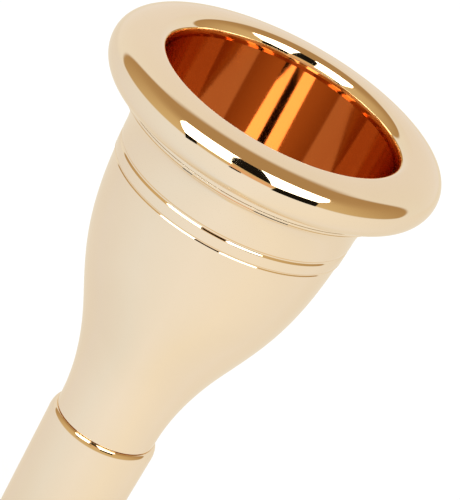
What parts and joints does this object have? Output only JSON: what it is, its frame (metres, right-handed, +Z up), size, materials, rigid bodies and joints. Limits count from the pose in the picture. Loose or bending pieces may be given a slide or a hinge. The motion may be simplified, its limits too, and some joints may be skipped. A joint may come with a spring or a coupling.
{
  "type": "brass mouthpiece",
  "caption": "Cup mouthpiece for a brass instrument: rounded rim, deep grooved cup, waisted neck and tapered shank with a through bore; the rim and the cup unscrew.",
  "frame": {"origin": "centre of the shank's end face, on the axis, which is the shank taper's mount", "axes": "+Z up the axis, from the shank's end towards the rim; the object is round about Z, so X and Y are free"},
  "size_m": [0.038, 0.038, 0.081],
  "materials": {
    "gold_plate": "polished pale gold plate over turned brass",
    "seal_rubber": "matt black rubber"
  },
  "bodies": {
    "shank": {"shank": "gold_plate"},
    "shank_seal": {"shank_seal": "seal_rubber"},
    "cup": {"cup": "gold_plate"},
    "rim_seal": {"rim_seal": "seal_rubber"},
    "rim": {"rim": "gold_plate"}
  },
  "joints": [
    {"name": "cup_turn", "type": "hinge", "parent": "shank", "child": "shank_seal", "pos_m": [0, 0, 0.03841], "axis": [0, 0, 1], "range_deg": [0, 1800]},
    {"name": "cup_lift", "type": "slide", "parent": "shank_seal", "child": "cup", "axis": [0, 0, 1], "range_m": [0, 0.0075]},
    {"name": "rim_turn", "type": "hinge", "parent": "cup", "child": "rim_seal", "pos_m": [0, 0, 0.07521], "axis": [0, 0, 1], "range_deg": [0, 990]},
    {"name": "rim_lift", "type": "slide", "parent": "rim_seal", "child": "rim", "axis": [0, 0, 1], "range_m": [0, 0.00248]}
  ],
  "couplings": [
    {"joint": "cup_lift", "follows": "cup_turn", "m_per_rad": 0.00023873},
    {"joint": "rim_lift", "follows": "rim_turn", "m_per_rad": 0.00014324}
  ]
}
